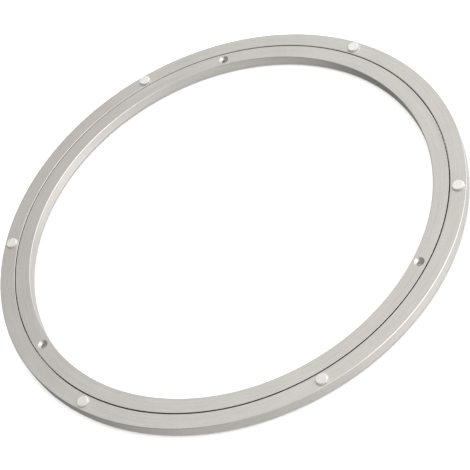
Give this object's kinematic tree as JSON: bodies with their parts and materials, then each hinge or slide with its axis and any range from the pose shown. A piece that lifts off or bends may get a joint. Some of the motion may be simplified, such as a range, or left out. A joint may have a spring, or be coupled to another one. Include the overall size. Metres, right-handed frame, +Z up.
{
  "type": "lazy susan bearing ring",
  "caption": "Flat aluminium lazy susan turntable ring: a turning outer ring on a row of steel balls round a fixed inner ring.",
  "frame": {"origin": "centre of the turning axis, at the underside of the feet", "axes": "+Z up along the turning axis, +X through the first screw hole of the inner ring"},
  "size_m": [0.3999, 0.4, 0.0126],
  "materials": {
    "ring_aluminium": "satin",
    "clear_silicone": "satin",
    "ball_steel": "polished",
    "black_steel": "satin"
  },
  "bodies": {
    "base": {"inner_ring": "ring_aluminium", "foot_1": "clear_silicone", "foot_2": "clear_silicone", "foot_3": "clear_silicone", "foot_4": "clear_silicone", "foot_5": "clear_silicone", "foot_6": "clear_silicone"},
    "ball_train": {"ball_row_1": "ball_steel", "ball_row_2": "ball_steel", "ball_row_3": "ball_steel", "ball_row_4": "ball_steel", "ball_row_5": "ball_steel", "ball_row_6": "ball_steel", "ball_row_7": "ball_steel", "ball_row_8": "ball_steel", "ball_row_9": "ball_steel", "ball_row_10": "ball_steel", "ball_row_11": "ball_steel", "ball_row_12": "ball_steel"},
    "turntable": {"outer_ring": "ring_aluminium", "loading_screw": "black_steel", "bumper_1": "clear_silicone", "bumper_2": "clear_silicone", "bumper_3": "clear_silicone", "bumper_4": "clear_silicone", "bumper_5": "clear_silicone", "bumper_6": "clear_silicone"}
  },
  "joints": [
    {"name": "turntable_spin", "type": "hinge", "parent": "base", "child": "turntable", "pos_m": [0, 0, 0.0063], "axis": [0, 0, 1], "continuous": true},
    {"name": "ball_orbit", "type": "hinge", "parent": "base", "child": "ball_train", "pos_m": [0, 0, 0.0063], "axis": [0, 0, 1], "continuous": true}
  ],
  "couplings": [
    {"joint": "ball_orbit", "follows": "turntable_spin", "ratio": 0.5038}
  ]
}
